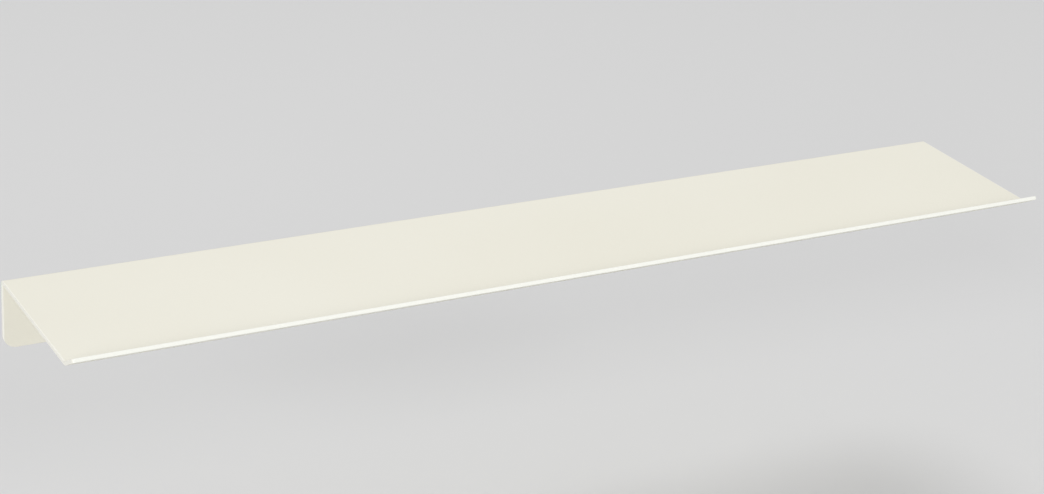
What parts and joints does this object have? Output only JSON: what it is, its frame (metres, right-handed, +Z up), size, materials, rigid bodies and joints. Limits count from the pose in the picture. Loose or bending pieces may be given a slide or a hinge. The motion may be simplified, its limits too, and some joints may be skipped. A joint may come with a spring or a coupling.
{
  "type": "wall shelf",
  "caption": "Wall shelf folded from one painted steel sheet: flat plate, rear wall flange with rounded corners, low front lip leaning outward, screwed through the flange.",
  "frame": {"origin": "on the wall side of the flange, at the middle of its length and of its height", "axes": "+X along the shelf, +Y into the wall, +Z up"},
  "size_m": [0.8, 0.1898, 0.0621],
  "materials": {
    "cream_coat": "satin powder coat, cream",
    "zinc_plate": "bright zinc plate",
    "grey_nylon": "moulded nylon"
  },
  "bodies": {
    "root": {"shelf_body": "cream_coat", "screw_1": "zinc_plate", "screw_2": "zinc_plate", "screw_3": "zinc_plate", "screw_4": "zinc_plate", "washer_1": "zinc_plate", "washer_2": "zinc_plate", "washer_3": "zinc_plate", "washer_4": "zinc_plate", "wall_plug_1": "grey_nylon", "wall_plug_2": "grey_nylon", "wall_plug_3": "grey_nylon", "wall_plug_4": "grey_nylon"}
  },
  "joints": []
}
